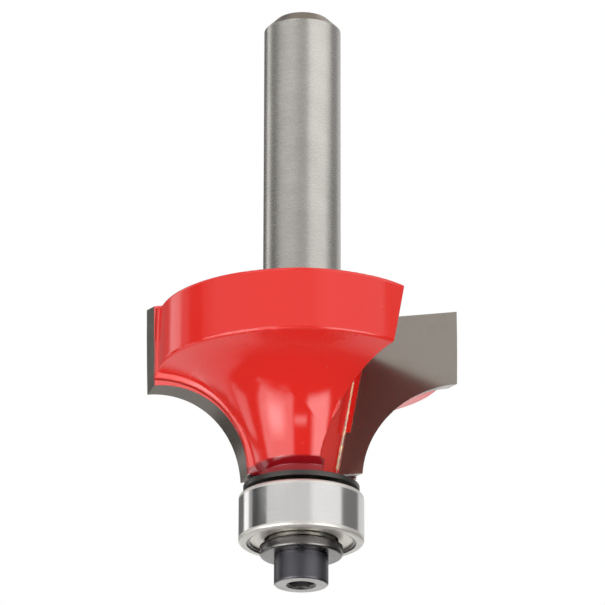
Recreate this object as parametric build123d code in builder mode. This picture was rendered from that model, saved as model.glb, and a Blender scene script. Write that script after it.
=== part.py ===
from build123d import *
from math import cos, hypot, pi, radians, sin, sqrt, tan
import os

# Cove router bit: two carbide tips brazed to a turned and milled steel body, with a guide
# bearing on a spigot below the cutting edges. The bit stands on the head of its bearing
# screw, with the shank up the Z axis. Millimetres and degrees.

# ---------------------------------------------------------------- driving dimensions
# Cutting form
cove_radius = 9.5
cutting_length = 18.0
flute_count = 2

# Shank
shank_diameter = 8.0
shank_length = 32.8         # above the wings
shank_chamfer = 1.3
shank_edge_radius = 0.4
shank_root_radius = 1.6

# Steel body
wing_setback = 1.2          # the wings' band stands this far inside the cutting circle
wing_drop = 0.55            # and their top this far below the tips' upper ends
hollow_setback = 1.5        # the hollow under the band ends this far inside the cove
hollow_crown = 0.35         # and its middle stands this much closer to it
lip_height = 0.95           # from the cutting plane up to the end of the hollow
neck_height = 0.95          # from the cutting plane down to the shoulder
neck_step = 0.64            # the neck's radius is this much smaller than the lip's
neck_chamfer_angle = 39.0   # between the lip's chamfer and the axis
wing_relief = 0.65          # fall of the band's radius at the back of each wing
relief_shift = 0.85         # eccentricity of the turning that makes this relief
relief_lag = 48.0           # degrees from the cutting edge back to its high point
band_edge_radius = 0.35
overrun = 3.0               # cuts and blanks run clear of the body by this much

# Cutting faces and chip gullets
hook_angle = 14.5           # the face leans forward of the radius by this much
shear_angle = 13.15         # and is tilted along the axis by this much
corner_offset = 3.43        # the gullet's inner corner, from the axis at the cutting plane
corner_taper = 9.7          # the corner moves outwards as it rises
gullet_floor = 4.6
floor_angle = 100.3         # between the face and the gullet's floor
gullet_opening = 39.6       # between the face and the back of the wing in front
gullet_fillet = 1.0

# Carbide tips and their brazing
tip_thickness = 1.8
tip_proud = 0.15            # the tip stands this far in front of the gullet's face
tip_inset_low = 0.3         # steel left between the gullet's corner and the tip
tip_inset_high = 0.75
tip_step_height = 4.9
relief_angle = 20.0
axial_relief_angle = 7.0
end_relief_angle = 10.0     # on the tip's upper end
backing_relief_angle = 50.0
backing_step = 0.12         # the backing steel starts this far inside the tip's edge
backing_depth = 1.3
braze_gap = 0.1

# Guide bearing, 3/16 by 1/2 inch
bearing_diameter = 12.7
bearing_bore = 4.762
bearing_width = 4.978
cutting_margin = 0.05       # the cove starts this far outside the bearing
ball_diameter = 2.381
ball_count = 7
ball_clearance = 0.02
groove_ratio = 0.52
inner_ring_wall = 1.119     # from the bore out to the land beside the groove
outer_ring_wall = 1.15      # from the outside in to the land
outer_corner_radius = 0.35
inner_corner_radius = 0.2

# Shields and the snap rings that hold them
shield_seat_step = 0.35     # each shield sits this far into the outer ring's land
shield_bore_gap = 0.25      # from the inner ring's land
shield_depth = 0.35
shield_thickness = 0.25
snap_ring_depth = 0.12
snap_ring_thickness = 0.2
snap_ring_width = 0.4
snap_groove_depth = 0.12
snap_ring_gap = 24.0        # degrees left open
seat_clearance = 0.02

# Ball cage
cage_inner_gap = 0.35       # from the inner ring's land
cage_outer_gap = 0.3        # from the outer ring's land
cage_end_gap = 0.21         # from the cage's foot to the shield below it
cage_above = 0.75           # from the balls' centres to the cage's upper end
cage_pocket_clearance = 0.06

# Dust disc above the bearing, washer and screw below it
disc_inset = 0.45
disc_thickness = 0.5
disc_boss_height = 0.5
boss_radius = 3.3
spigot_clearance = 0.01
disc_clearance = 0.05
spigot_shortfall = 0.25     # the spigot ends this far inside the bearing
washer_diameter = 8.4
washer_thickness = 1.0
washer_boss_height = 0.35
washer_clearance = 0.1
washer_edge_radius = 0.25
screw_head_diameter = 5.5
screw_head_height = 3.0
screw_head_edge = 0.2
screw_diameter = 3.0
screw_length = 8.0
screw_point = 0.4
thread_clearance = 0.02
thread_run_out = 1.5
hex_across_flats = 2.5
hex_depth = 1.5
hex_chamfer = 0.2

# ---------------------------------------------------------------- heights up the axis
washer_z = screw_head_height
bearing_z = washer_z + washer_thickness + washer_boss_height
bearing_top = bearing_z + bearing_width
bearing_mid = bearing_z + bearing_width / 2
disc_z = bearing_top + disc_boss_height
shoulder_z = disc_z + disc_thickness
cutting_z = shoulder_z + neck_height
lip_z = cutting_z + lip_height
cutting_top = cutting_z + cutting_length
wing_top = cutting_top - wing_drop
shank_top = wing_top + shank_length

# ---------------------------------------------------------------- radii
bearing_radius = bearing_diameter / 2
bore_radius = bearing_bore / 2
cutting_radius = bearing_radius + cutting_margin + cove_radius
wing_radius = cutting_radius - wing_setback
hollow_radius = cove_radius + hollow_setback
lip_radius = cutting_radius - sqrt(hollow_radius**2 - lip_height**2)
band_z = cutting_z + sqrt(hollow_radius**2 - wing_setback**2)
neck_radius = lip_radius - neck_step
neck_z = lip_z - neck_step / tan(radians(neck_chamfer_angle))
shank_radius = shank_diameter / 2
spigot_radius = bore_radius - spigot_clearance
spigot_end = bearing_z + spigot_shortfall
thread_radius = screw_diameter / 2
pitch_radius = (bearing_radius + bore_radius) / 2
ball_radius = ball_diameter / 2
groove_radius = groove_ratio * ball_diameter
inner_land_radius = bore_radius + inner_ring_wall
outer_land_radius = bearing_radius - outer_ring_wall
shield_seat_radius = outer_land_radius + shield_seat_step
shield_bore_radius = inner_land_radius + shield_bore_gap
cage_inner_radius = inner_land_radius + cage_inner_gap
cage_outer_radius = outer_land_radius - cage_outer_gap
cage_below = bearing_width / 2 - shield_depth - shield_thickness - cage_end_gap

# ---------------------------------------------------------------- planes of the cutting faces
# The upper end of each cutting edge lies on the X axis. From there the face runs inwards at
# the hook angle and down at the shear angle.
hook, shear, taper = (tan(radians(a)) for a in (hook_angle, shear_angle, corner_taper))
corner_y = hook * (cutting_radius - corner_offset) - shear * cutting_length
corner_line = Vector(taper, shear - hook * taper, 1).normalized()
face_normal = Vector(-hook, -1, shear).normalized()
face_plane = Plane(
    origin=(corner_offset, corner_y, cutting_z),
    x_dir=corner_line.cross(face_normal),
    z_dir=face_normal,
)
wall_plane = face_plane.offset(-tip_proud)
end_tilt = tan(radians(end_relief_angle))
end_plane = Plane(
    origin=(cutting_radius, 0, cutting_top),
    x_dir=(1, -hook, 0),
    z_dir=(hook * end_tilt, end_tilt, hypot(hook, 1)),
)

far_out = cutting_radius + overrun
face_low = -(neck_height + overrun)
face_high = (cutting_length + overrun) / corner_line.Z


def relief(angle, axial_angle):
    """Direction in which a flank falls away behind its cutting edge."""
    return Vector(-tan(radians(angle)), 1, tan(radians(axial_angle))).normalized()


def extrude_back(outline, depth, direction):
    """Extrude an outline on the face backwards, measured square to the face."""
    extrude(outline, amount=-depth / direction.dot(face_normal), dir=direction)


# ---------------------------------------------------------------- steel body
def turned_form(axis_plane, band, foot, arc_end, arc_middle, arc_start, top, edge=0):
    """Solid turned round a plane's Y axis: a foot, a hollow and a band, in radii and heights."""
    with BuildPart() as form:
        with BuildSketch(axis_plane):
            with BuildLine():
                Polyline(arc_end, *foot, (0, foot[-1][1]), (0, top), (band, top), arc_start)
                ThreePointArc(arc_start, arc_middle, arc_end)
            make_face()
            if edge:
                for corner in (arc_start, (band, top)):
                    fillet(vertices().sort_by_distance(corner)[0], edge)
        revolve(axis=Axis(axis_plane.origin, (0, 0, 1)))
    return form.part


def edge_envelope(setback):
    """The form that the cutting edges sweep, drawn in by a setback, on the side of one tip."""
    outer = cutting_radius - setback
    radius = cove_radius + setback
    middle = radius * cos(pi / 4)
    inner = cutting_radius - radius
    with BuildPart() as envelope:
        add(turned_form(
            Plane.XZ,
            band=outer,
            foot=[(inner, shoulder_z)],
            arc_end=(inner, cutting_z),
            arc_middle=(cutting_radius - middle, cutting_z + middle),
            arc_start=(outer, cutting_z + sqrt(radius**2 - setback**2)),
            top=cutting_top + overrun,
        ))
        split(bisect_by=Plane.XY.offset(cutting_z), keep=Keep.TOP)
        split(bisect_by=Plane.YZ, keep=Keep.TOP)
    return envelope.part


def seat_outline(plane, gap):
    """Outline of a tip's seat on a face: its stepped inner edge, run clear everywhere else."""
    step = tip_step_height / corner_line.Z
    with BuildSketch(plane) as outline:
        with BuildLine():
            Polyline(
                (tip_inset_low - gap, face_low),
                (tip_inset_low - gap, step),
                (tip_inset_high - gap, step),
                (tip_inset_high - gap, face_high),
                (far_out, face_high),
                (far_out, face_low),
                close=True,
            )
        make_face()
    return outline.sketch


def tip_block(depth, gap):
    """Block with the tip's flanks and inner edge, down to a depth behind the face."""
    with BuildPart() as block:
        outline = section(edge_envelope(0), section_by=face_plane)
        extrude_back(outline, depth, relief(relief_angle, axial_relief_angle))
        extrude(seat_outline(face_plane, gap), amount=-depth, mode=Mode.INTERSECT)
        split(bisect_by=end_plane, keep=Keep.BOTTOM)
    return block.part


with BuildPart() as tip:
    add(tip_block(tip_thickness, 0))

with BuildPart() as braze:
    add(tip_block(tip_thickness + braze_gap, braze_gap))
    split(bisect_by=wall_plane, keep=Keep.BOTTOM)
    add(tip.part, mode=Mode.SUBTRACT)

# Steel that backs each tip: it carries on the tip's flank at a steeper relief until it
# dives under the wing's surface.
with BuildPart() as backing:
    backing_plane = face_plane.offset(-tip_thickness - braze_gap)
    seat_depth = tip_thickness + braze_gap
    drawn_in = seat_depth * tan(radians(relief_angle)) + backing_step
    outline = section(edge_envelope(drawn_in), section_by=backing_plane)
    extrude_back(outline, backing_depth, relief(backing_relief_angle, backing_relief_angle))
    split(bisect_by=Plane.XY.offset(wing_top), keep=Keep.BOTTOM)

with BuildPart() as seat:
    extrude(seat_outline(face_plane, braze_gap), amount=-(tip_thickness + braze_gap))
    extrude(seat_outline(face_plane, braze_gap), amount=tip_proud)

# One chip gullet, open to the outside. It is a prism along the corner line.
with BuildPart() as gullet:
    wall_corner = wall_plane.origin + corner_line * (face_low / corner_line.Z)
    gullet_plane = Plane(
        origin=wall_corner, x_dir=(cos(radians(hook_angle)), -sin(radians(hook_angle)), 0)
    )
    with BuildSketch(gullet_plane) as gullet_section:
        with BuildLine():
            floor = PolarLine((0, 0), gullet_floor, -floor_angle)
            wing_back = PolarLine(floor @ 1, 2 * far_out, -gullet_opening)
            Polyline(wing_back @ 1, (2 * far_out, 0), (0, 0))
        make_face()
        fillet(vertices().sort_by_distance(floor @ 1)[0], gullet_fillet)
    extrude(
        amount=(face_high - face_low) / corner_line.Z,
        dir=corner_line,
    )

# The wings as turned, and the eccentric form that relieves them towards their backs.
turned_middle = (hollow_radius - hollow_crown) * cos(pi / 4)
relieved_middle = hollow_radius * cos(pi / 4)
with BuildPart() as turned_body:
    add(turned_form(
        Plane.XZ,
        band=wing_radius,
        foot=[(neck_radius, neck_z), (neck_radius, shoulder_z)],
        arc_end=(lip_radius, lip_z),
        arc_middle=(cutting_radius - turned_middle, cutting_z + turned_middle),
        arc_start=(wing_radius, band_z),
        top=wing_top,
        edge=band_edge_radius,
    ))

with BuildPart() as relieved_wing:
    lag = radians(relief_lag)
    relief_axis = Plane(
        origin=(relief_shift * cos(lag), relief_shift * sin(lag), 0),
        x_dir=(1, 0, 0),
        z_dir=(0, -1, 0),
    )
    back_radius = hypot(wing_radius - wing_relief, relief_shift)
    foot_radius = hypot(lip_radius, relief_shift)
    add(turned_form(
        relief_axis,
        band=back_radius,
        foot=[(foot_radius, shoulder_z)],
        arc_end=(foot_radius, lip_z),
        arc_middle=(
            cutting_radius - wing_relief / 2 - relieved_middle, cutting_z + relieved_middle,
        ),
        arc_start=(back_radius, band_z),
        top=wing_top,
        edge=band_edge_radius,
    ))

with BuildPart() as cutter_body:
    with PolarLocations(0, flute_count):
        add(relieved_wing.part)
    add(turned_body.part, mode=Mode.INTERSECT)
    with PolarLocations(0, flute_count):
        add(backing.part)
    with PolarLocations(0, flute_count):
        add(gullet.part, mode=Mode.SUBTRACT)
    with PolarLocations(0, flute_count):
        add(seat.part, mode=Mode.SUBTRACT)
    with BuildSketch(Plane.XZ):
        with BuildLine():
            flat_radius = shank_radius - shank_chamfer
            root_z = wing_top + shank_root_radius
            Polyline(
                (0, wing_top - overrun),
                (0, shank_top),
                (flat_radius, shank_top),
                (shank_radius, shank_top - shank_chamfer),
                (shank_radius, root_z),
            )
            RadiusArc(
                (shank_radius, root_z),
                (shank_radius + shank_root_radius, wing_top),
                -shank_root_radius,
            )
            Polyline(
                (shank_radius + shank_root_radius, wing_top),
                (shank_radius + shank_root_radius, wing_top - overrun),
                (0, wing_top - overrun),
            )
        make_face()
        fillet(vertices().sort_by_distance((flat_radius, shank_top))[0], shank_edge_radius)
    revolve(axis=Axis.Z)
    with BuildSketch(Plane.XY.offset(shoulder_z)):
        Circle(spigot_radius)
    extrude(amount=spigot_end - shoulder_z)
    with BuildSketch(Plane.XY.offset(spigot_end)):
        Circle(thread_radius + thread_clearance)
    thread_end = screw_head_height + screw_length + thread_run_out
    extrude(amount=thread_end - spigot_end, mode=Mode.SUBTRACT)
    cutter_body.part.label = "cutter_body"


# ---------------------------------------------------------------- guide bearing
def race_groove(side):
    """Groove that a ball runs in: side is 1 in the outer ring and -1 in the inner one."""
    bottom = pitch_radius + side * (ball_radius + ball_clearance)
    with Locations((bottom - side * groove_radius, bearing_mid)):
        Circle(groove_radius, mode=Mode.SUBTRACT)


def shield_pocket(sign):
    """Recess for a shield, and the snap ring's groove in its wall, at one end of the ring."""
    face = bearing_mid + sign * bearing_width / 2
    pocket_depth = shield_depth + shield_thickness
    with Locations((outer_land_radius, face - sign * pocket_depth / 2)):
        Rectangle(2 * (shield_seat_radius - outer_land_radius), pocket_depth, mode=Mode.SUBTRACT)
    groove_height = shield_depth - snap_ring_depth
    with Locations((outer_land_radius, face - sign * (snap_ring_depth + shield_depth) / 2)):
        reach = shield_seat_radius + snap_groove_depth - outer_land_radius
        Rectangle(2 * reach, groove_height, mode=Mode.SUBTRACT)


with BuildPart() as bearing_outer_ring:
    with BuildSketch(Plane.XZ):
        with Locations(((bearing_radius + outer_land_radius) / 2, bearing_mid)):
            Rectangle(bearing_radius - outer_land_radius, bearing_width)
        fillet(vertices().group_by(Axis.X)[-1], outer_corner_radius)
        race_groove(1)
        shield_pocket(1)
        shield_pocket(-1)
    revolve(axis=Axis.Z)
    bearing_outer_ring.part.label = "bearing_outer_ring"

with BuildPart() as bearing_inner_ring:
    with BuildSketch(Plane.XZ):
        with Locations(((bore_radius + inner_land_radius) / 2, bearing_mid)):
            Rectangle(inner_land_radius - bore_radius, bearing_width)
        fillet(vertices().group_by(Axis.X)[0], inner_corner_radius)
        race_groove(-1)
    revolve(axis=Axis.Z)
    bearing_inner_ring.part.label = "bearing_inner_ring"

with BuildPart() as bearing_cage:
    with BuildSketch(Plane.XZ):
        cage_width = cage_outer_radius - cage_inner_radius
        middle = (cage_outer_radius + cage_inner_radius) / 2
        with Locations((middle, bearing_mid + (cage_above - cage_below) / 2)):
            Rectangle(cage_width, cage_above + cage_below)
    revolve(axis=Axis.Z)
    with Locations((0, 0, bearing_mid)):
        with PolarLocations(pitch_radius, ball_count):
            Sphere(ball_radius + cage_pocket_clearance, mode=Mode.SUBTRACT)
    bearing_cage.part.label = "bearing_cage"


def make_ball(number):
    """One ball, in its own place round the pitch circle."""
    angle = radians(360 * number / ball_count)
    with BuildPart() as ball:
        with Locations((pitch_radius * cos(angle), pitch_radius * sin(angle), bearing_mid)):
            Sphere(ball_radius)
    ball.part.label = f"bearing_ball_{number + 1}"
    return ball.part


def make_shield(name, sign):
    """Flat ring that closes one end of the bearing."""
    face = bearing_mid + sign * (bearing_width / 2 - shield_depth)
    with BuildPart() as shield:
        with BuildSketch(Plane.XY.offset(face)):
            Circle(shield_seat_radius - seat_clearance)
            Circle(shield_bore_radius, mode=Mode.SUBTRACT)
        extrude(amount=-sign * shield_thickness)
    shield.part.label = name
    return shield.part


def make_snap_ring(name, sign):
    """Open spring ring that sits in the groove and holds a shield."""
    face = bearing_mid + sign * (bearing_width / 2 - shield_depth)
    groove_wall = shield_seat_radius + snap_groove_depth - seat_clearance
    with BuildPart() as snap_ring:
        with BuildSketch(Plane.XY.offset(face)):
            Circle(groove_wall)
            Circle(groove_wall - snap_ring_width, mode=Mode.SUBTRACT)
            half_gap = groove_wall * tan(radians(snap_ring_gap / 2))
            with Locations((0, -groove_wall)):
                Rectangle(2 * half_gap, groove_wall, mode=Mode.SUBTRACT)
        extrude(amount=sign * snap_ring_thickness)
    snap_ring.part.label = name
    return snap_ring.part


# ---------------------------------------------------------------- disc, washer and screw
with BuildPart() as dust_disc:
    with BuildSketch(Plane.XY.offset(disc_z)):
        Circle(bearing_radius - disc_inset)
    extrude(amount=disc_thickness)
    with BuildSketch(Plane.XY.offset(bearing_top)):
        Circle(boss_radius)
    extrude(amount=disc_boss_height)
    with Locations((0, 0, disc_z)):
        Hole(spigot_radius + disc_clearance)
    dust_disc.part.label = "dust_disc"

with BuildPart() as clamp_washer:
    with BuildSketch(Plane.XY.offset(washer_z)):
        Circle(washer_diameter / 2)
    extrude(amount=washer_thickness)
    fillet(edges().filter_by(GeomType.CIRCLE).group_by(Axis.Z)[0], washer_edge_radius)
    with BuildSketch(Plane.XY.offset(washer_z + washer_thickness)):
        Circle(boss_radius)
    extrude(amount=washer_boss_height)
    with Locations((0, 0, washer_z)):
        Hole(screw_diameter / 2 + washer_clearance)
    clamp_washer.part.label = "clamp_washer"

with BuildPart() as bearing_screw:
    with BuildSketch():
        Circle(screw_head_diameter / 2)
    extrude(amount=screw_head_height)
    fillet(edges().filter_by(GeomType.CIRCLE).group_by(Axis.Z)[0], screw_head_edge)
    with BuildSketch(Plane.XY.offset(screw_head_height)):
        Circle(thread_radius)
    extrude(amount=screw_length)
    chamfer(edges().filter_by(GeomType.CIRCLE).group_by(Axis.Z)[-1], screw_point)
    with BuildSketch():
        RegularPolygon(hex_across_flats / 2, 6, major_radius=False)
    extrude(amount=hex_depth, mode=Mode.SUBTRACT)
    with BuildSketch():
        Circle(hex_across_flats / (2 * cos(pi / 6)) + hex_chamfer / 2)
    extrude(amount=hex_chamfer, taper=45, mode=Mode.SUBTRACT)
    bearing_screw.part.label = "bearing_screw"

# ---------------------------------------------------------------- all the pieces
pieces = [
    cutter_body.part,
    bearing_outer_ring.part,
    bearing_inner_ring.part,
    bearing_cage.part,
    dust_disc.part,
    clamp_washer.part,
    bearing_screw.part,
]
pieces += [make_ball(number) for number in range(ball_count)]
for end, sign in (("upper", 1), ("lower", -1)):
    pieces.append(make_shield(f"bearing_shield_{end}", sign))
    pieces.append(make_snap_ring(f"snap_ring_{end}", sign))


def copy_round(part, name, number):
    """The copy of a tip or its brazing that belongs to one flute."""
    with BuildPart() as placed:
        with Locations(Rotation(0, 0, 360 * number / flute_count)):
            add(part)
    placed.part.label = f"{name}_{number + 1}"
    return placed.part


for number in range(flute_count):
    pieces.append(copy_round(tip.part, "carbide_tip", number))
    pieces.append(copy_round(braze.part, "braze_layer", number))

os.makedirs("parts", exist_ok=True)
for piece in pieces:
    export_step(piece, f"parts/{piece.label}.step")
    print(f"{piece.label}: {len(piece.solids())} solid, {piece.volume:.2f} mm3")
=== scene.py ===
import math

import bmesh
import bpy
from bpy.props import FloatProperty, FloatVectorProperty, IntProperty, PointerProperty
from mathutils import Matrix, Vector, noise


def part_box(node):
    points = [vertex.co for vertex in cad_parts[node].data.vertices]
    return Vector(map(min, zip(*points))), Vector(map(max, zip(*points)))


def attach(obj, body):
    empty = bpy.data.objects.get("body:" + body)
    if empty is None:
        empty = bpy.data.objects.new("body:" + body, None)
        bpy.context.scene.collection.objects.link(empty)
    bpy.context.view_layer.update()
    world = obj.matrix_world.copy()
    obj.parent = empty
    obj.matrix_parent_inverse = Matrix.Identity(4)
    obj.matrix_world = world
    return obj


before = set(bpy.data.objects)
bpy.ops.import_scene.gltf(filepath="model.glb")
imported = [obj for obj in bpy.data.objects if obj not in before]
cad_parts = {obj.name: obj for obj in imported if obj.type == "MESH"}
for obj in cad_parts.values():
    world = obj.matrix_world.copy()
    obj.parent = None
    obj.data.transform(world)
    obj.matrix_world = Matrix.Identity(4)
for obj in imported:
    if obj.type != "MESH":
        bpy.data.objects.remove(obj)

bl_info = {
    "name": "Cove Router Bit",
    "version": (1, 0, 0),
    "blender": (4, 5, 0),
    "location": "View3D > Sidebar > Router Bit",
    "description": "Finishes, braze beads and studio for a bearing guided cove router bit",
    "category": "Object",
}

MM = 0.001

# ---------------------------------------------------------------- places read from the frame
tip_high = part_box("carbide_tip_1")[1]
shank_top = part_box("cutter_body")[1].z
ring_low, ring_high = (corner.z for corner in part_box("bearing_outer_ring"))
cutting_radius = tip_high.x
cutting_top = tip_high.z
cutting_length = 18 * MM
cutting_z = cutting_top - cutting_length
wing_drop = 0.55 * MM
wing_top = cutting_top - wing_drop

# Inner corner of the gullet in front of each tip, which the braze bead runs along. The bead's
# ends are measured along the corner, from the cutting plane.
hook_angle = math.radians(14.5)
shear_angle = math.radians(13.15)
corner_taper = math.radians(9.7)
corner_offset = 3.43 * MM
tip_proud = 0.15 * MM
bead_low, bead_high = 0.3 * MM, 9.8 * MM
bead_sides = 10

# Soft borders between the finishes, each from where it starts to where it is complete. Heights
# are from the cutting plane, radii from the axis.
# Where painted shade darkens the paint at the foot of the turned neck, just above the dust disc.
neck_shade_heights = (1.05 * MM, 0.75 * MM)
neck_shade_radii = (4.14 * MM, 4.25 * MM)
dull_neck_heights = (0.22 * MM, 0.12 * MM)
under_band_heights = (9.2 * MM, 10.3 * MM)
band_foot_heights = (11.1 * MM, 11.0 * MM)
run_out_low_heights = (0.6 * MM, 0.8 * MM)
run_out_high_heights = (10.9 * MM, 10.6 * MM)
foot_heights = (0.24 * MM, 0.16 * MM)
foot_radii = (4.95 * MM, 5.1 * MM)
socket_radii = (1.5 * MM, 1.4 * MM)
bare_braze_distances = (1.35 * MM, 1.2 * MM)    # from the gullet's corner
shank_end_depths = (1.30 * MM, 1.20 * MM)       # down from the shank's top
faced_screw_heights = (0.06 * MM, 0.02 * MM)    # up from the screw's end, at the origin
paint_line_softness = 0.1 * MM

# Studio, in metres round the middle of the bit's head.
shell_radius = 1.05
panel_radius = 1.0
panel_spacing = 0.01
sphere_steps = 24
lamp_distance = 0.60
floor_half_width = 1.2
floor_gap = 0.1 * MM
floor_fade = (0.10, 0.42)       # distances over which the floor turns white
room_horizon = (-0.05, 0.05)    # heights where the reflected room turns from dim to light
aim_shift = 0.07 * MM           # of the camera's aim, sideways from the bit's axis


def corner_line():
    """A point of the gullet's corner at the height of the cutting plane, and its direction."""
    hook, shear, taper = (math.tan(a) for a in (hook_angle, shear_angle, corner_taper))
    normal = Vector((-hook, -1, shear)).normalized()
    y = hook * (cutting_radius - corner_offset) - shear * cutting_length
    start = Vector((corner_offset, y, cutting_z)) - normal * tip_proud
    return start, Vector((taper, shear - hook * taper, 1)).normalized()


# ---------------------------------------------------------------- settings
def colour_property(name, description, default):
    return FloatVectorProperty(
        name=name, description=description, default=default, subtype="COLOR",
        size=3, min=0, max=1,
    )


class PaintSettings(bpy.types.PropertyGroup):
    """Gloss paint of the wings."""

    colour: colour_property("Paint", "Colour of the gloss paint", (0.78, 0.023, 0.016))
    thin_colour: colour_property("Thin paint", "Paint on sharp edges", (0.85, 0.09, 0.07))
    # Darker red painted on the foot of the neck: painted shade where the dust disc keeps light
    # off it.
    neck_shade_colour: colour_property("Neck shade", "Painted shade at the foot of the neck", (0.33, 0.005, 0.011))
    dusty_colour: colour_property("Dusty paint", "Specks of dust on it", (0.85, 0.45, 0.42))
    line_height: FloatProperty(
        name="Paint line", description="How far up the shank the paint reaches above the wings",
        default=2.2 * MM, min=0, subtype="DISTANCE", unit="LENGTH",
    )
    roundness: FloatProperty(
        name="Roundness", description="Radius that the paint rounds an edge to",
        default=0.22 * MM, min=0, subtype="DISTANCE", unit="LENGTH",
    )


class SteelSettings(bpy.types.PropertyGroup):
    """Ground, polished and blackened steel, and the bearing's cage."""

    shank_colour: colour_property("Shank", "Ground steel of the shank", (0.455, 0.438, 0.408))
    end_colour: colour_property("Shank end", "Browned chamfer and end", (0.40, 0.32, 0.25))
    bearing_colour: colour_property("Bearing", "Polished bearing steel", (0.64, 0.63, 0.62))
    corner_colour: colour_property("Bearing corner", "Satin corners", (0.60, 0.59, 0.55))
    # Inner ring's steel darkened as painted shade of the narrow gap between the washer and the
    # shields.
    inner_ring_shade_colour: colour_property("Inner ring", "Inner ring with painted shade", (0.24, 0.23, 0.205))
    ball_colour: colour_property("Balls", "Lapped bearing balls", (0.70, 0.70, 0.70))
    shield_colour: colour_property("Shields", "Pressed shields", (0.78, 0.76, 0.68))
    spring_colour: colour_property("Snap rings", "Spring steel", (0.16, 0.155, 0.15))
    cage_colour: colour_property("Cage", "Moulded nylon", (0.16, 0.13, 0.09))
    fibre_colour: colour_property("Cage fibres", "Glass in the nylon", (0.24, 0.20, 0.15))
    washer_colour: colour_property("Washer", "Zinc plated washer", (0.145, 0.138, 0.132))
    oxide_colour: colour_property("Black oxide", "Blackened screw", (0.075, 0.073, 0.080))
    faced_colour: colour_property("Screw end", "Faced end and socket", (0.30, 0.292, 0.28))
    disc_colour: colour_property("Blackened disc", "Dust disc", (0.075, 0.070, 0.066))


class CarbideSettings(bpy.types.PropertyGroup):
    """Ground carbide and the braze behind it."""

    colour: colour_property("Carbide", "Ground carbide", (0.170, 0.153, 0.132))
    edge_colour: colour_property("Carbide edge", "Worn edges", (0.62, 0.61, 0.58))
    dust_colour: colour_property("Carbide dust", "Specks on the faces", (0.12, 0.11, 0.10))
    braze_colour: colour_property("Braze", "Silver braze", (0.92, 0.70, 0.47))
    stain_colour: colour_property("Braze stain", "Flux stains", (0.55, 0.50, 0.44))
    bead_radius: FloatProperty(
        name="Braze bead", description="Radius of the bead of braze in the gullet's corner",
        default=0.16 * MM, min=0.02 * MM, subtype="DISTANCE", unit="LENGTH",
    )
    bead_rings: IntProperty(
        name="Bead rings", description="Rings along each bead", default=70, min=8,
    )


class StudioSettings(bpy.types.PropertyGroup):
    """Floor, lamps and camera."""

    floor_colour: colour_property("Floor", "Pale floor", (0.86, 0.86, 0.86))
    ambient: FloatProperty(
        name="Ambient", description="Strength of the light that comes from all round",
        default=0.75, min=0,
    )
    surround: FloatProperty(
        name="Surround", description="How bright reflections show the room above the floor",
        default=0.50, min=0,
    )
    shade: FloatProperty(
        name="Shade", description="How bright reflections show the room below the floor",
        default=0.07, min=0,
    )
    azimuth: FloatProperty(
        name="Azimuth", description="Camera's angle round the bit, from the front",
        default=math.radians(0.476), subtype="ANGLE", unit="ROTATION",
    )
    elevation: FloatProperty(
        name="Elevation", description="Camera's angle above the floor's level",
        default=math.radians(-19.82), subtype="ANGLE", unit="ROTATION",
    )
    roll: FloatProperty(
        name="Roll", description="Camera's turn round its own line of sight",
        default=math.radians(0.128), subtype="ANGLE", unit="ROTATION",
    )
    distance: FloatProperty(
        name="Distance", description="From the camera to the point it looks at",
        default=0.464965, min=0.05, subtype="DISTANCE", unit="LENGTH",
    )
    aim_height: FloatProperty(
        name="Aim height", description="Height of the point that the camera looks at",
        default=30.203 * MM, subtype="DISTANCE", unit="LENGTH",
    )
    lens: FloatProperty(
        name="Lens", description="Focal length in millimetres, on a 36 mm sensor",
        default=269.4, min=10,
    )


# ---------------------------------------------------------------- node helpers
def node(tree, kind, inputs=None, **settings):
    """Adds a node. An input given as a socket is linked, and any other value is set."""
    made = tree.nodes.new(kind)
    for name, value in settings.items():
        setattr(made, name, value)
    for name, value in (inputs or {}).items():
        if isinstance(value, bpy.types.NodeSocket):
            tree.links.new(value, made.inputs[name])
        else:
            made.inputs[name].default_value = value
    return made


def maths(tree, operation, *values):
    """Output of a Math node."""
    made = node(tree, "ShaderNodeMath", dict(enumerate(values)), operation=operation)
    return made.outputs[0]


def vector_maths(tree, operation, *values, output=0):
    """Output of a Vector Math node: 0 is its vector and 1 its value."""
    made = node(tree, "ShaderNodeVectorMath", dict(enumerate(values)), operation=operation)
    return made.outputs[output]


def ramp(tree, value, low, high, start=0.0, end=1.0):
    """Value mapped smoothly from low..high to start..end."""
    made = node(
        tree, "ShaderNodeMapRange",
        {"Value": value, "From Min": low, "From Max": high, "To Min": start, "To Max": end},
        interpolation_type="SMOOTHSTEP",
    )
    return made.outputs["Result"]


def border(tree, value, limits, origin=0.0):
    """Mask that goes from 0 to 1 between two limits, which are given from an origin."""
    start, complete = limits
    return ramp(tree, value, origin + start, origin + complete)


def blend_colours(tree, factor, first, second, blend_type="MIX"):
    """Colour mixed from two."""
    made = node(tree, "ShaderNodeMix", data_type="RGBA", blend_type=blend_type)
    for index, value in ((0, factor), (6, first), (7, second)):
        if isinstance(value, bpy.types.NodeSocket):
            tree.links.new(value, made.inputs[index])
        else:
            made.inputs[index].default_value = value
    return made.outputs[2]


def blend_values(tree, factor, first, second):
    """Value mixed from two."""
    made = node(tree, "ShaderNodeMix", {0: factor, 2: first, 3: second}, data_type="FLOAT")
    return made.outputs[0]


def object_place(tree):
    """Object coordinates, in metres."""
    return node(tree, "ShaderNodeTexCoord").outputs["Object"]


def object_height(tree):
    """Height of the shaded point, in metres."""
    return node(tree, "ShaderNodeSeparateXYZ", {0: object_place(tree)}).outputs[2]


def level_place(tree):
    """Place of the shaded point with its height taken out."""
    axes = node(tree, "ShaderNodeSeparateXYZ", {0: object_place(tree)}).outputs
    return node(tree, "ShaderNodeCombineXYZ", {0: axes[0], 1: axes[1]}).outputs[0]


def axis_distance(tree):
    """Distance of the shaded point from the bit's axis."""
    return vector_maths(tree, "LENGTH", level_place(tree), output=1)


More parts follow.
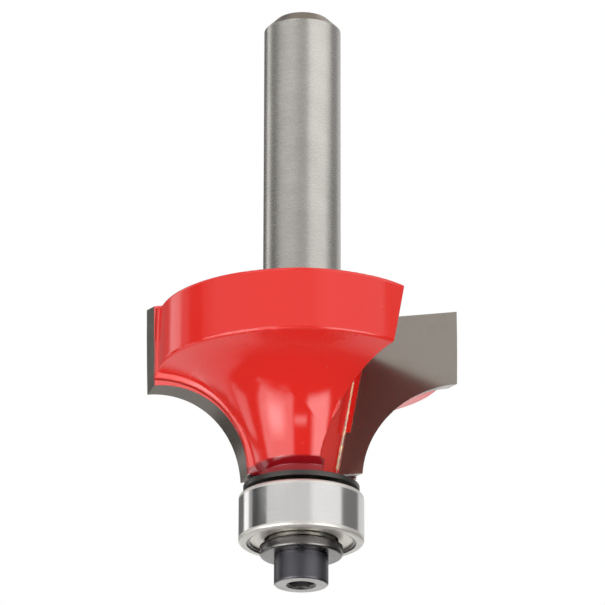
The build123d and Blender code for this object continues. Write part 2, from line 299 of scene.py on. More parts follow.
def noise_value(tree, place, scale, detail=2.0, roughness=0.5):
    """Noise from 0 to 1 at a place, with that many waves to the metre."""
    made = node(
        tree, "ShaderNodeTexNoise",
        {"Vector": place, "Scale": scale, "Detail": detail, "Roughness": roughness},
    )
    return made.outputs[0]


def rgba(colour):
    """An opaque colour, as a socket takes it."""
    return (*colour, 1.0)


# ---------------------------------------------------------------- shared effects
def shared_group(name, inputs, outputs, build):
    """A shader node group, built once. Build gets its tree, input node and output node."""
    tree = bpy.data.node_groups.get(name)
    if tree:
        return tree
    tree = bpy.data.node_groups.new(name, "ShaderNodeTree")
    for label, default in inputs:
        socket = tree.interface.new_socket(label, in_out="INPUT", socket_type="NodeSocketFloat")
        socket.default_value = default
    for label, kind in outputs:
        tree.interface.new_socket(label, in_out="OUTPUT", socket_type=kind)
    build(tree, tree.nodes.new("NodeGroupInput"), tree.nodes.new("NodeGroupOutput"))
    return tree


def build_turned_lines(tree, given, result):
    """Fine rings that a lathe or a grinding wheel leaves round the Z axis."""
    round_axis = vector_maths(tree, "NORMALIZE", level_place(tree))
    turn = node(tree, "ShaderNodeSeparateXYZ", {0: round_axis}).outputs
    count, wander = given.outputs["Lines"], given.outputs["Wander"]
    line_place = node(
        tree, "ShaderNodeCombineXYZ",
        {
            0: maths(tree, "MULTIPLY", axis_distance(tree), count),
            1: maths(tree, "MULTIPLY", object_height(tree), count),
            2: maths(tree, "MULTIPLY", turn[0], wander),
        },
    )
    lines = node(
        tree, "ShaderNodeTexNoise",
        {
            "Vector": line_place.outputs[0], "W": maths(tree, "MULTIPLY", turn[1], wander),
            "Scale": 1.0, "Detail": 3.0, "Roughness": 0.65,
        },
        noise_dimensions="4D",
    )
    tree.links.new(lines.outputs[0], result.inputs["Height"])
    tree.links.new(ramp(tree, lines.outputs[0], 0.32, 0.68), result.inputs["Tone"])


def turned_lines():
    return shared_group(
        "Turned lines", [("Lines", 9000.0), ("Wander", 1.5)],
        [("Height", "NodeSocketFloat"), ("Tone", "NodeSocketFloat")], build_turned_lines,
    )


def build_worn_edges(tree, given, result):
    """Normal that rounds sharp edges over a radius, and a mask of where those edges are."""
    rounded = node(tree, "ShaderNodeBevel", {"Radius": given.outputs["Radius"]}, samples=6)
    flat = node(tree, "ShaderNodeNewGeometry").outputs["Normal"]
    turned = vector_maths(tree, "DOT_PRODUCT", rounded.outputs[0], flat, output=1)
    tree.links.new(rounded.outputs[0], result.inputs["Normal"])
    tree.links.new(ramp(tree, turned, 0.997, 0.86), result.inputs["Edge"])


def worn_edges():
    return shared_group(
        "Worn edges", [("Radius", 0.1 * MM)],
        [("Normal", "NodeSocketVector"), ("Edge", "NodeSocketFloat")], build_worn_edges,
    )


def build_handling(tree, given, result):
    """Cloudy marks of handling and a scatter of small specks of dust."""
    place = object_place(tree)
    clouds = noise_value(tree, place, given.outputs["Clouds"], 4.0, 0.6)
    specks = noise_value(tree, place, given.outputs["Specks"], 1.0)
    tree.links.new(ramp(tree, clouds, 0.35, 0.70), result.inputs["Haze"])
    tree.links.new(ramp(tree, specks, 0.74, 0.82), result.inputs["Dust"])


def handling():
    return shared_group(
        "Handling marks", [("Clouds", 180.0), ("Specks", 3500.0)],
        [("Haze", "NodeSocketFloat"), ("Dust", "NodeSocketFloat")], build_handling,
    )


def build_wheel_marks(tree, given, result):
    """Straight fine lines that a grinding wheel leaves along the Z axis."""
    place = object_place(tree)
    pressed = vector_maths(tree, "MULTIPLY", place, (1.0, 1.0, 0.035))
    marks = noise_value(tree, pressed, given.outputs["Lines"], 3.0, 0.7)
    tree.links.new(marks, result.inputs["Height"])
    tree.links.new(ramp(tree, marks, 0.3, 0.7), result.inputs["Tone"])


def wheel_marks():
    return shared_group(
        "Wheel marks", [("Lines", 9000.0)],
        [("Height", "NodeSocketFloat"), ("Tone", "NodeSocketFloat")], build_wheel_marks,
    )


def effect(tree, group, **values):
    """A shared effect placed in a material, with its own values."""
    made = node(tree, "ShaderNodeGroup", node_tree=group)
    for name, value in values.items():
        made.inputs[name.capitalize()].default_value = value
    return made.outputs


def new_material(name):
    """An empty material, with its tree and its Principled BSDF."""
    made = bpy.data.materials.new(name)
    made.use_nodes = True
    shader = made.node_tree.nodes["Principled BSDF"]
    return made, made.node_tree, shader


def bump(tree, shader, height, distance, normal=None, strength=1.0):
    """Relief of a real depth in metres on the shader's normal."""
    inputs = {"Height": height, "Distance": distance, "Strength": strength}
    if normal is not None:
        inputs["Normal"] = normal
    made = node(tree, "ShaderNodeBump", inputs)
    tree.links.new(made.outputs[0], shader.inputs["Normal"])


# ---------------------------------------------------------------- finishes
def coat_colour(tree, height, edges, marks):
    """Gloss paint, thin on sharp edges, with painted shade darkening the foot of the turned neck,
    and with specks of dust.
    """
    paint = bpy.context.scene.router_bit_paint
    thin = maths(tree, "MULTIPLY", edges["Edge"], 0.30)
    coat = blend_colours(tree, thin, rgba(paint.colour), rgba(paint.thin_colour))
    # Painted shade: the foot of the neck is darkened where the dust disc keeps light off it.
    turned = border(tree, axis_distance(tree), neck_shade_radii)
    shade_at_neck = maths(tree, "MULTIPLY", border(tree, height, neck_shade_heights, cutting_z), turned)
    coat = blend_colours(tree, shade_at_neck, coat, rgba(paint.neck_shade_colour))
    dusty = maths(tree, "MULTIPLY", marks["Dust"], 0.10)
    return blend_colours(tree, dusty, coat, rgba(paint.dusty_colour))


def bare_colour(tree, height, brazed, lines, marks):
    """Ground steel, with braze in the gullets' corners and the shank's browned end."""
    steel = bpy.context.scene.router_bit_steel
    carbide = bpy.context.scene.router_bit_carbide
    tone = maths(tree, "MULTIPLY_ADD", lines["Tone"], 0.06, 0.94)
    tone = maths(tree, "MULTIPLY", tone, maths(tree, "MULTIPLY_ADD", marks["Haze"], -0.13, 1.0))
    ground = blend_colours(tree, brazed, rgba(steel.shank_colour), rgba(carbide.braze_colour))
    end = ramp(tree, height, *(shank_top - depth for depth in shank_end_depths))
    ground = blend_colours(tree, end, ground, rgba(steel.end_colour))
    return blend_colours(tree, 1.0, ground, tone, "MULTIPLY")


def coat_roughness(tree, height, marks):
    """Gloss of the paint, duller just under the wings' band and on the neck."""
    under = maths(
        tree, "MULTIPLY", border(tree, height, under_band_heights, cutting_z),
        border(tree, height, band_foot_heights, cutting_z),
    )
    gloss = maths(tree, "MULTIPLY_ADD", marks["Haze"], 0.05, 0.10)
    gloss = maths(tree, "MULTIPLY_ADD", under, 0.17, gloss)
    neck = border(tree, height, dull_neck_heights, cutting_z)
    return maths(tree, "MULTIPLY_ADD", neck, 0.40, gloss)


def painted_body_finish():
    """Gloss paint on the wings, ground steel on the shank, and bare spots beside each tip."""
    paint = bpy.context.scene.router_bit_paint
    made, tree, shader = new_material("Gloss paint and ground shank")
    place = object_place(tree)
    height = object_height(tree)
    edges = effect(tree, worn_edges(), radius=paint.roundness)
    marks = effect(tree, handling(), clouds=140.0, specks=2600.0)
    lines = effect(tree, turned_lines(), lines=14000.0, wander=2.0)

    waved = maths(tree, "MULTIPLY_ADD", noise_value(tree, place, 900.0), 0.25 * MM, height)
    line = wing_top + paint.line_height
    shank = ramp(tree, waved, line, line + paint_line_softness)
    brazed = gullet_run_out(tree, place, height)
    bare = maths(tree, "MAXIMUM", brazed, ground_foot(tree, height))
    metal = maths(tree, "MAXIMUM", shank, bare)

    coat = coat_colour(tree, height, edges, marks)
    ground = bare_colour(tree, height, brazed, lines, marks)
    tree.links.new(blend_colours(tree, metal, coat, ground), shader.inputs["Base Color"])
    tree.links.new(metal, shader.inputs["Metallic"])
    satin = maths(tree, "MULTIPLY_ADD", lines["Tone"], 0.05, 0.25)
    roughness = blend_values(tree, metal, coat_roughness(tree, height, marks), satin)
    tree.links.new(roughness, shader.inputs["Roughness"])

    peel = noise_value(tree, place, 1300.0)
    relief = blend_values(tree, metal, peel, maths(tree, "MULTIPLY", lines["Height"], 0.3))
    bump(tree, shader, relief, 0.006 * MM, edges["Normal"], 0.6)
    return made


def build_corner_distance(tree, given, result):
    """Distance from the inner corner of the nearer gullet."""
    start, direction = corner_line()
    place = object_place(tree)
    nearest = None
    for turn in (1, -1):
        origin = Vector((start.x * turn, start.y * turn, start.z))
        along = Vector((direction.x * turn, direction.y * turn, direction.z))
        away = vector_maths(tree, "SUBTRACT", place, origin)
        across = vector_maths(tree, "CROSS_PRODUCT", away, along)
        distance = vector_maths(tree, "LENGTH", across, output=1)
        nearest = distance if nearest is None else maths(tree, "MINIMUM", nearest, distance)
    tree.links.new(nearest, result.inputs["Distance"])


def corner_distance():
    return shared_group(
        "Distance from the gullet's corner", [], [("Distance", "NodeSocketFloat")],
        build_corner_distance,
    )


def gullet_run_out(tree, place, height):
    """Mask of the ragged strip in each gullet's corner that braze has run out over."""
    width = ramp(tree, height, cutting_z, cutting_z + 8 * MM, 0.34 * MM, 0.16 * MM)
    nearest = effect(tree, corner_distance())["Distance"]
    ragged = maths(tree, "MULTIPLY_ADD", noise_value(tree, place, 2200.0, 3.0), 0.3 * MM, nearest)
    strip = ramp(tree, maths(tree, "SUBTRACT", ragged, width), 0.17 * MM, 0.11 * MM)
    above = border(tree, height, run_out_low_heights, cutting_z)
    below = border(tree, height, run_out_high_heights, cutting_z)
    return maths(tree, "MULTIPLY", strip, maths(tree, "MULTIPLY", above, below))


def ground_foot(tree, height):
    """Mask of the bare end of the steel behind each tip, ground flush with the carbide's."""
    outside = border(tree, axis_distance(tree), foot_radii)
    low = border(tree, height, foot_heights, cutting_z)
    return maths(tree, "MULTIPLY", outside, low)


def carbide_finish():
    """Ground and lapped tungsten carbide."""
    carbide = bpy.context.scene.router_bit_carbide
    made, tree, shader = new_material("Ground carbide")
    edges = effect(tree, worn_edges(), radius=0.05 * MM)
    marks = effect(tree, wheel_marks(), lines=11000.0)
    hands = effect(tree, handling(), clouds=260.0, specks=4200.0)
    tone = maths(tree, "MULTIPLY_ADD", marks["Tone"], 0.10, 0.90)
    face = blend_colours(tree, 1.0, rgba(carbide.colour), tone, "MULTIPLY")
    dusty = maths(tree, "MULTIPLY", hands["Dust"], 0.5)
    face = blend_colours(tree, dusty, face, rgba(carbide.dust_colour))
    worn = maths(tree, "MULTIPLY", edges["Edge"], 0.25)
    face = blend_colours(tree, worn, face, rgba(carbide.edge_colour))
    tree.links.new(face, shader.inputs["Base Color"])
    shader.inputs["Metallic"].default_value = 0.70
    satin = maths(tree, "MULTIPLY_ADD", hands["Haze"], 0.06, 0.16)
    tree.links.new(satin, shader.inputs["Roughness"])
    bump(tree, shader, marks["Height"], 0.0012 * MM, edges["Normal"])
    return made


def braze_finish():
    """Silver braze, wrinkled where it froze, and painted over away from the gullet's corner."""
    carbide = bpy.context.scene.router_bit_carbide
    paint = bpy.context.scene.router_bit_paint
    made, tree, shader = new_material("Silver braze")
    place = object_place(tree)
    grain = noise_value(tree, place, 6000.0, 3.0)
    stains = ramp(tree, noise_value(tree, place, 1500.0), 0.35, 0.65)
    braze = blend_colours(tree, stains, rgba(carbide.braze_colour), rgba(carbide.stain_colour))
    away = effect(tree, corner_distance())["Distance"]
    bare = border(tree, away, bare_braze_distances)
    face = blend_colours(tree, bare, rgba(paint.colour), braze)
    tree.links.new(face, shader.inputs["Base Color"])
    tree.links.new(bare, shader.inputs["Metallic"])
    wrinkled = maths(tree, "MULTIPLY_ADD", grain, 0.2, 0.38)
    tree.links.new(blend_values(tree, bare, 0.12, wrinkled), shader.inputs["Roughness"])
    bump(tree, shader, grain, 0.02 * MM)
    return made


def turned_steel_finish(
    name, colour, lines, roughness, edge_radius, depth, tint=0.12, corner=0, metallic=1.0,
):
    """Turned or ground steel with fine rings round the axis.

    Depth is that of the rings and tint how much they darken the colour. With a corner, the
    outer ring's upper and lower ends are satin over that height.
    """
    made, tree, shader = new_material(name)
    edges = effect(tree, worn_edges(), radius=edge_radius)
    rings = effect(tree, turned_lines(), lines=lines, wander=1.2)
    hands = effect(tree, handling(), clouds=230.0, specks=3800.0)
    tone = maths(tree, "MULTIPLY_ADD", rings["Tone"], tint, 1.0 - tint)
    face = blend_colours(tree, 1.0, rgba(colour), tone, "MULTIPLY")
    lighter = tuple(min(1.0, c * 1.25 + 0.03) for c in colour)
    worn = maths(tree, "MULTIPLY", edges["Edge"], 0.35)
    face = blend_colours(tree, worn, face, rgba(lighter))
    satin = maths(tree, "MULTIPLY_ADD", hands["Haze"], 0.06, roughness)
    shader.inputs["Metallic"].default_value = metallic
    if corner:
        height = object_height(tree)
        lower = ramp(tree, height, ring_low + corner, ring_low + 0.8 * corner)
        upper = ramp(tree, height, ring_high - corner, ring_high - 0.8 * corner)
        turned = maths(tree, "MAXIMUM", lower, upper)
        satin = blend_values(tree, turned, satin, 0.36)
        tree.links.new(blend_values(tree, turned, metallic, 0.45), shader.inputs["Metallic"])
        corner_colour = bpy.context.scene.router_bit_steel.corner_colour
        face = blend_colours(tree, turned, face, rgba(corner_colour))
    tree.links.new(face, shader.inputs["Base Color"])
    tree.links.new(satin, shader.inputs["Roughness"])
    bump(tree, shader, rings["Height"], depth, edges["Normal"])
    return made


def screw_finish():
    """Black oxide screw, brighter on its faced end, in its socket and on worn edges."""
    steel = bpy.context.scene.router_bit_steel
    made, tree, shader = new_material("Black oxide screw")
    edges = effect(tree, worn_edges(), radius=0.12 * MM)
    rings = effect(tree, turned_lines(), lines=8000.0, wander=1.0)
    hands = effect(tree, handling(), clouds=400.0, specks=5000.0)
    faced = border(tree, object_height(tree), faced_screw_heights)
    worn = maths(tree, "MULTIPLY", edges["Edge"], 0.35)
    bright = maths(tree, "MAXIMUM", faced, worn)
    socket = maths(tree, "MULTIPLY", border(tree, axis_distance(tree), socket_radii), 0.5)
    bright = maths(tree, "MAXIMUM", bright, socket)
    face = blend_colours(tree, bright, rgba(steel.oxide_colour), rgba(steel.faced_colour))
    tree.links.new(face, shader.inputs["Base Color"])
    shader.inputs["Metallic"].default_value = 1.0
    dull = blend_values(tree, faced, 0.34, 0.24)
    satin = maths(tree, "MULTIPLY_ADD", hands["Haze"], 0.08, dull)
    tree.links.new(satin, shader.inputs["Roughness"])
    bump(tree, shader, rings["Height"], 0.004 * MM, edges["Normal"])
    return made


def cage_finish():
    """Moulded cage of glass filled nylon."""
    steel = bpy.context.scene.router_bit_steel
    made, tree, shader = new_material("Moulded cage")
    hands = effect(tree, handling(), clouds=300.0, specks=6000.0)
    fibres = noise_value(tree, object_place(tree), 9000.0)
    shown = ramp(tree, fibres, 0.4, 0.7)
    face = blend_colours(tree, shown, rgba(steel.cage_colour), rgba(steel.fibre_colour))
    tree.links.new(face, shader.inputs["Base Color"])
    satin = maths(tree, "MULTIPLY_ADD", hands["Haze"], 0.1, 0.42)
    tree.links.new(satin, shader.inputs["Roughness"])
    bump(tree, shader, fibres, 0.004 * MM)
    return made


def dress(names, finish):
    """Puts one finish on CAD nodes."""
    for name in names:
        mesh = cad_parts[name].data
        mesh.materials.clear()
        mesh.materials.append(finish)


def nodes_named(*starts):
    """CAD nodes whose names start in one of these ways."""
    return [name for name in sorted(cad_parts) if name.startswith(starts)]


# ---------------------------------------------------------------- operators
class DressCutter(bpy.types.Operator):
    """Finish of the steel body, its carbide tips and the braze behind them"""

    bl_idname = "router_bit.dress_cutter"
    bl_label = "Dress Cutter"

    def execute(self, context):
        dress(["cutter_body"], painted_body_finish())
        dress(nodes_named("carbide_tip"), carbide_finish())
        dress(nodes_named("braze_layer"), braze_finish())
        return {"FINISHED"}


class DressBearing(bpy.types.Operator):
    """Finish of the guide bearing's rings, balls, cage, shields and snap rings"""

    bl_idname = "router_bit.dress_bearing"
    bl_label = "Dress Bearing"

    def execute(self, context):
        steel = context.scene.router_bit_steel
        rings = turned_steel_finish(
            "Polished bearing steel", steel.bearing_colour, lines=12000.0, roughness=0.13,
            edge_radius=0.06 * MM, depth=0.0004 * MM, tint=0.04, corner=0.55 * MM,
        )
        dress(nodes_named("bearing_outer"), rings)
        # The inner ring's colour is darkened as painted shade of the narrow gap under the washer.
        inner = turned_steel_finish(
            "Inner ring with painted shade", steel.inner_ring_shade_colour, lines=12000.0, roughness=0.30,
            edge_radius=0.05 * MM, depth=0.001 * MM,
        )
        dress(nodes_named("bearing_inner"), inner)
        balls = turned_steel_finish(
            "Lapped ball steel", steel.ball_colour, lines=3000.0, roughness=0.04,
            edge_radius=0.02 * MM, depth=0.0001 * MM, tint=0.04,
        )
        dress(nodes_named("bearing_ball"), balls)
        shields = turned_steel_finish(
            "Pressed shield steel", steel.shield_colour, lines=7000.0, roughness=0.32,
            edge_radius=0.05 * MM, depth=0.003 * MM, metallic=0.5,
        )
        dress(nodes_named("bearing_shield"), shields)
        springs = turned_steel_finish(
            "Spring steel", steel.spring_colour, lines=7000.0, roughness=0.30,
            edge_radius=0.03 * MM, depth=0.002 * MM,
        )
        dress(nodes_named("snap_ring"), springs)
        dress(nodes_named("bearing_cage"), cage_finish())
        return {"FINISHED"}


class DressClamping(bpy.types.Operator):
    """Finish of the dust disc above the bearing, and of the washer and screw below it"""

    bl_idname = "router_bit.dress_clamping"
    bl_label = "Dress Clamping"

    def execute(self, context):
        steel = context.scene.router_bit_steel
        disc = turned_steel_finish(
            "Blackened disc", steel.disc_colour, lines=6000.0, roughness=0.36,
            edge_radius=0.05 * MM, depth=0.004 * MM,
        )
        dress(["dust_disc"], disc)
        washer = turned_steel_finish(
            "Plated washer", steel.washer_colour, lines=5000.0, roughness=0.24,
            edge_radius=0.08 * MM, depth=0.006 * MM, tint=0.2,
        )
        dress(["clamp_washer"], washer)
        dress(["bearing_screw"], screw_finish())
        return {"FINISHED"}


class AddBrazeBeads(bpy.types.Operator):
    """Ragged bead of braze left in the corner of each gullet"""

    bl_idname = "router_bit.add_braze_beads"
    bl_label = "Add Braze Beads"

    def execute(self, context):
        finish = bpy.data.materials["Silver braze"]
        for number, turn in ((1, 0.0), (2, math.pi)):
            bead = braze_bead(f"braze_bead_{number}", turn, number)
            bead.data.materials.append(finish)
            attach(bead, "cutter")
        return {"FINISHED"}


def braze_bead(name, turn, seed):
    """One bead, a closed tube along the gullet's corner whose thickness wanders."""
    carbide = bpy.context.scene.router_bit_carbide
    start, direction = corner_line()
    length = bead_high - bead_low
    rings = carbide.bead_rings
    side = direction.orthogonal().normalized()
    facing = Matrix((side, direction.cross(side), direction)).transposed().to_4x4()
    shape = bmesh.new()
    bmesh.ops.create_circle(
        shape, cap_ends=True, segments=bead_sides, radius=1.0,
        matrix=Matrix.Translation(start + direction * bead_low) @ facing,
    )
    face = shape.faces[:]
    sections = [(shape.verts[:], 0.0)]
    for step in range(1, rings + 1):
        grown = bmesh.ops.extrude_face_region(shape, geom=face)
        ring = [e for e in grown["geom"] if isinstance(e, bmesh.types.BMVert)]
        bmesh.ops.delete(shape, geom=face, context="FACES_ONLY")
        face = [e for e in grown["geom"] if isinstance(e, bmesh.types.BMFace)]
        bmesh.ops.translate(shape, verts=ring, vec=direction * (length / rings))
        sections.append((ring, step / rings))
    for ring, share in sections:
        middle = start + direction * (bead_low + length * share)
        wander = noise.noise(Vector((seed * 7.0, share * 26.0, 0.0)))
        lump = noise.noise(Vector((seed * 3.0, 4.0, share * 60.0)))
        taper = min(1.0, 4.0 * min(share, 1.0 - share) + 0.1)
        radius = carbide.bead_radius * taper * (1.0 + 0.45 * lump + 0.25 * wander)
        bmesh.ops.scale(
            shape, vec=(radius,) * 3, space=Matrix.Translation(-middle), verts=ring,
        )
    bmesh.ops.rotate(
        shape, verts=shape.verts, cent=(0, 0, 0), matrix=Matrix.Rotation(turn, 3, "Z"),
    )
    bmesh.ops.recalc_face_normals(shape, faces=shape.faces)
    return finished_piece(name, shape)


def finished_piece(name, shape, smooth=True):
    """A mesh object at the origin, made from a bmesh, which is freed."""
    mesh = bpy.data.meshes.new(name)
    shape.to_mesh(mesh)
    shape.free()
    for face in mesh.polygons:
        face.use_smooth = smooth
    piece = bpy.data.objects.new(name, mesh)
    bpy.context.scene.collection.objects.link(piece)
    return piece


# Panels that only reflections show, a later one standing nearer and hiding those behind it.
# Each has its name, the angles that it spans round the bit, from the front towards +X, and above
# the cutting plane, its brightness and the width of its soft edge. Angles are in degrees.
PANELS = (
    ("panel_front_left", (-83, -17), (-4, 60), 0.88, 12),
    ("panel_front_right", (12, 80), (3, 60), 1.15, 5),
    ("panel_front", (-32, 22), (3, 60), 0.90, 12),
    ("panel_high_right", (18, 98), (21, 62), 1.75, 6),
    ("panel_high_front", (-22, 17), (22, 60), 0.50, 6),
    ("panel_high_left", (-58, -8), (33, 62), 1.95, 3),
    ("panel_right", (80, 126), (0, 22), 0.24, 3),
    ("panel_back_right", (126, 168), (3, 60), 0.85, 6),
    ("panel_left", (-104, -84), (0, 25), 0.08, 4),
    ("panel_left_low", (-98, -66), (-4, 19), 0.10, 2),
    ("panel_back_left", (-132, -111), (0, 60), 1.5, 4),
    ("panel_back_shade", (-168, -131), (0, 60), 0.18, 3),
    ("panel_back_low", (-215, -120), (-62, -14), 0.85, 10),
    ("panel_stripe", (-124, -102), (-40, -4), 1.7, 6),
    ("panel_back", (148, 212), (-26, 8), 1.2, 6),
    ("window_left", (-89, -14), (-60, 10), 3.4, 9),
    ("window_core", (-78, -28), (-54, -10), 8.0, 20),
    ("window_right", (17, 73), (-51, 8), 5.4, 12),
    ("spark", (-18, 13), (-40, -26), 4.5, 7),
)

# Square softboxes: name, angle round the bit, angle above it, width in metres and brightness.
LAMPS = (
    ("lamp_front", 10, 4, 0.50, 0.9),
    ("lamp_left", -75, -20, 0.40, 0.7),
    ("lamp_overhead", 20, 75, 0.50, 1.1),
    ("lamp_under", -10, -50, 0.45, 0.7),
)


class BuildStudio(bpy.types.Operator):
    """Pale floor, soft lamps, the room and panels that reflections show, and the camera"""

    bl_idname = "router_bit.build_studio"
    bl_label = "Build Studio"

    def execute(self, context):
        studio = context.scene.router_bit_studio
        add_floor(studio)
        add_world(studio)
        for lamp in LAMPS:
            add_lamp(*lamp)
        add_shell(studio)
        for order, panel in enumerate(PANELS):
            add_panel(panel_radius - panel_spacing * order, *panel)
        add_camera(studio)
        context.scene.view_settings.view_transform = "Standard"
        return {"FINISHED"}


def round_the_bit(angle, elevation, distance):
    """A place round the bit, with angles in degrees."""
    turn, rise = math.radians(angle), math.radians(elevation)
    flat, up = distance * math.cos(rise), distance * math.sin(rise)
    return Vector((flat * math.sin(turn), -flat * math.cos(turn), cutting_z + up))


def add_lamp(name, angle, elevation, width, brightness):
    """Softbox that faces the bit, with the brightness that its front shows."""
    lamp = bpy.data.lights.new(name, "AREA")
    lamp.shape = "RECTANGLE"
    lamp.size = lamp.size_y = width
    lamp.energy = brightness * math.pi * width**2
    piece = bpy.data.objects.new(name, lamp)
    piece.location = round_the_bit(angle, elevation, lamp_distance)
    aim = Vector((0, 0, cutting_z)) - piece.location
    piece.rotation_euler = aim.to_track_quat("-Z", "Y").to_euler()
    piece.visible_camera = piece.visible_glossy = False
    bpy.context.scene.collection.objects.link(piece)


def sphere_patch(radius, turns, rises):
    """Part of a sphere round the bit, between two angles round it and two heights in degrees."""
    shape = bmesh.new()
    middle = Vector((0, 0, cutting_z))
    first = bmesh.ops.create_vert(shape, co=round_the_bit(turns[0], rises[0], radius))["vert"]
    level = Vector((math.cos(math.radians(turns[0])), math.sin(math.radians(turns[0])), 0))
    bmesh.ops.spin(
        shape, geom=first, cent=middle, axis=level, angle=math.radians(rises[0] - rises[1]),
        steps=sphere_steps,
    )
    bmesh.ops.spin(
        shape, geom=shape.verts[:] + shape.edges[:], cent=middle, axis=(0, 0, 1),
        angle=math.radians(turns[1] - turns[0]), steps=sphere_steps,
    )
    return shape


def build_panel_mask(tree, given, result):
    """Mask of a lit panel, 1 inside and fading to 0 at its edges, from angles round the bit."""
    axes = node(tree, "ShaderNodeSeparateXYZ", {0: object_place(tree)}).outputs
    height = maths(tree, "SUBTRACT", axes[2], cutting_z)
    forward = maths(tree, "MULTIPLY", axes[1], -1.0)
    turn = maths(tree, "ARCTAN2", axes[0], forward)
    rise = maths(tree, "ARCTAN2", height, axis_distance(tree))
    beside = maths(tree, "SUBTRACT", turn, given.outputs["Turn"])
    beside = maths(tree, "WRAP", beside, math.pi, -math.pi)
    above = maths(tree, "SUBTRACT", rise, given.outputs["Rise"])
    mask = None
    for away, half in ((beside, "Half_turn"), (above, "Half_rise")):
        edge = given.outputs[half]
        inside = maths(tree, "SUBTRACT", edge, given.outputs["Fade"])
        part = ramp(tree, maths(tree, "ABSOLUTE", away), edge, inside)
        mask = part if mask is None else maths(tree, "MULTIPLY", mask, part)
    tree.links.new(mask, result.inputs["Mask"])


def panel_mask():
    return shared_group(
        "Panel mask",
        [("Turn", 0.0), ("Half_turn", 0.5), ("Rise", 0.0), ("Half_rise", 0.5), ("Fade", 0.05)],
        [("Mask", "NodeSocketFloat")], build_panel_mask,
    )


def reflected_only(piece):
    """Keeps a piece of the studio out of everything but reflections."""
    piece.visible_camera = piece.visible_diffuse = piece.visible_shadow = False
    piece.visible_transmission = piece.visible_volume_scatter = False


def add_shell(studio):
    """Room that closes the reflections in: lighter above the floor's level than below."""
    shell = finished_piece("shell", sphere_patch(shell_radius, (-180, 180), (-90, 90)))
    made, tree, _ = new_material("Reflected room")
    above = border(tree, object_height(tree), room_horizon)
    light = node(
        tree, "ShaderNodeEmission",
        {"Strength": blend_values(tree, above, studio.shade, studio.surround)},
    )
    tree.links.new(light.outputs[0], tree.nodes["Material Output"].inputs["Surface"])
    made.cycles.emission_sampling = "NONE"
    shell.data.materials.append(made)
    reflected_only(shell)


def add_panel(radius, name, turns, rises, brightness, fade):
    """Bright or dim panel that only reflections show, with soft edges."""
    panel = finished_piece(name, sphere_patch(radius, turns, rises))
    made, tree, _ = new_material(name)
    middles = [math.radians((low + high) / 2) for low, high in (turns, rises)]
    halves = [math.radians((high - low) / 2) for low, high in (turns, rises)]
    mask = effect(
        tree, panel_mask(), turn=middles[0], half_turn=halves[0], rise=middles[1],
        half_rise=halves[1], fade=math.radians(fade),
    )["Mask"]
    light = node(tree, "ShaderNodeEmission", {"Strength": brightness})
    clear = node(tree, "ShaderNodeBsdfTransparent")
    mixed = node(
        tree, "ShaderNodeMixShader", {0: mask, 1: clear.outputs[0], 2: light.outputs[0]},
    )
    tree.links.new(mixed.outputs[0], tree.nodes["Material Output"].inputs["Surface"])
    made.cycles.emission_sampling = "NONE"
    panel.data.materials.append(made)
    reflected_only(panel)


def add_floor(studio):
    """Floor that fades to white, keeps the bit's shadow and isn't seen from below."""
    shape = bmesh.new()
    bmesh.ops.create_grid(shape, x_segments=8, y_segments=8, size=floor_half_width)
    bmesh.ops.translate(shape, verts=shape.verts, vec=(0, 0, -floor_gap))
    floor = finished_piece("floor", shape, smooth=False)
    made, tree, shader = new_material("Pale floor")
    mottle = noise_value(tree, object_place(tree), 25.0, 3.0)
    shade = tuple(c * 0.98 for c in studio.floor_colour)
    mottled = blend_colours(tree, mottle, rgba(studio.floor_colour), rgba(shade))
    tree.links.new(mottled, shader.inputs["Base Color"])
    shader.inputs["Roughness"].default_value = 0.8
    shader.inputs["Specular IOR Level"].default_value = 0.1
    path = node(tree, "ShaderNodeLightPath")
    away = vector_maths(tree, "LENGTH", object_place(tree), output=1)
    far = border(tree, away, floor_fade)
    white = maths(tree, "MULTIPLY", far, path.outputs["Is Camera Ray"])
    glow = node(tree, "ShaderNodeEmission", {"Color": rgba((1, 1, 1)), "Strength": 1.0})
    seen = node(
        tree, "ShaderNodeMixShader", {0: white, 1: shader.outputs[0], 2: glow.outputs[0]},
    )
    behind = node(tree, "ShaderNodeNewGeometry").outputs["Backfacing"]
    clear = node(tree, "ShaderNodeBsdfTransparent")
    open_to = maths(tree, "MAXIMUM", path.outputs["Is Glossy Ray"], path.outputs["Is Shadow Ray"])
    open_to = maths(tree, "MAXIMUM", behind, open_to)
    mixed = node(
        tree, "ShaderNodeMixShader", {0: open_to, 1: seen.outputs[0], 2: clear.outputs[0]},
    )
    tree.links.new(mixed.outputs[0], tree.nodes["Material Output"].inputs["Surface"])
    made.cycles.emission_sampling = "NONE"
    floor.data.materials.append(made)


def add_world(studio):
    """White surroundings, at a lower strength where they light the bit."""
    world = bpy.data.worlds.new("Studio white")
    bpy.context.scene.world = world
    world.use_nodes = True
    tree = world.node_tree
    path = node(tree, "ShaderNodeLightPath")
    seen = maths(tree, "MAXIMUM", path.outputs["Is Camera Ray"], path.outputs["Is Glossy Ray"])
    seen = maths(tree, "MAXIMUM", seen, path.outputs["Is Transmission Ray"])
    strength = blend_values(tree, seen, studio.ambient, 1.0)
    background = tree.nodes["Background"]
    background.inputs["Color"].default_value = rgba((1, 1, 1))
    tree.links.new(strength, background.inputs["Strength"])


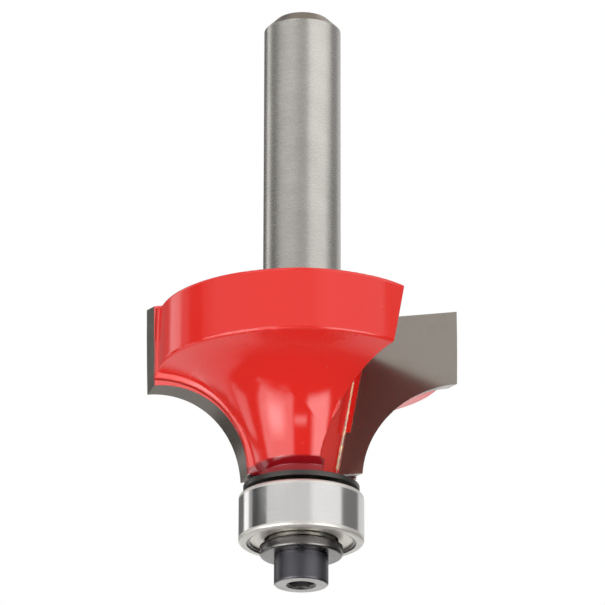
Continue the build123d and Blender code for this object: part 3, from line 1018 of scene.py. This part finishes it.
def add_camera(studio):
    """Camera that looks at the bit a little from below."""
    turn, rise = studio.azimuth, studio.elevation
    backwards = Vector((
        -math.sin(turn) * math.cos(rise), -math.cos(turn) * math.cos(rise), math.sin(rise),
    ))
    aim = Vector((aim_shift, 0, studio.aim_height))
    level = (-backwards).cross(Vector((0, 0, 1))).normalized()
    upright = level.cross(-backwards)
    right = level * math.cos(studio.roll) + upright * math.sin(studio.roll)
    up = upright * math.cos(studio.roll) - level * math.sin(studio.roll)
    lens = bpy.data.cameras.new("camera")
    lens.lens, lens.sensor_width, lens.sensor_fit = studio.lens, 36.0, "HORIZONTAL"
    lens.clip_start, lens.clip_end = 0.01, 10.0
    camera = bpy.data.objects.new("camera", lens)
    axes = Matrix((right, up, backwards)).transposed().to_4x4()
    camera.matrix_world = Matrix.Translation(aim + backwards * studio.distance) @ axes
    bpy.context.scene.collection.objects.link(camera)
    bpy.context.scene.camera = camera


class RouterBitPanel(bpy.types.Panel):
    """Builds the looks of the router bit, step by step"""

    bl_idname = "VIEW3D_PT_router_bit"
    bl_label = "Router Bit"
    bl_space_type = "VIEW_3D"
    bl_region_type = "UI"
    bl_category = "Router Bit"

    def draw(self, context):
        column = self.layout.column()
        for operator in OPERATORS:
            column.operator(operator.bl_idname)
        for name in SETTINGS:
            group = getattr(context.scene, name)
            for label in group.__annotations__:
                column.prop(group, label)


OPERATORS = (DressCutter, DressBearing, DressClamping, AddBrazeBeads, BuildStudio)
SETTINGS = {
    "router_bit_paint": PaintSettings,
    "router_bit_steel": SteelSettings,
    "router_bit_carbide": CarbideSettings,
    "router_bit_studio": StudioSettings,
}


def register():
    for group in SETTINGS.values():
        bpy.utils.register_class(group)
    for name, group in SETTINGS.items():
        setattr(bpy.types.Scene, name, PointerProperty(type=group))
    for operator in OPERATORS:
        bpy.utils.register_class(operator)
    bpy.utils.register_class(RouterBitPanel)


def unregister():
    bpy.utils.unregister_class(RouterBitPanel)
    for operator in reversed(OPERATORS):
        bpy.utils.unregister_class(operator)
    for name in SETTINGS:
        delattr(bpy.types.Scene, name)
    for group in reversed(SETTINGS.values()):
        bpy.utils.unregister_class(group)


def main():
    """Builds the looks around the frame."""
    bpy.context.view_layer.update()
    register()
    bpy.ops.router_bit.dress_cutter()
    bpy.ops.router_bit.dress_bearing()
    bpy.ops.router_bit.dress_clamping()
    bpy.ops.router_bit.add_braze_beads()
    bpy.ops.router_bit.build_studio()


if __name__ == "__main__":
    main()
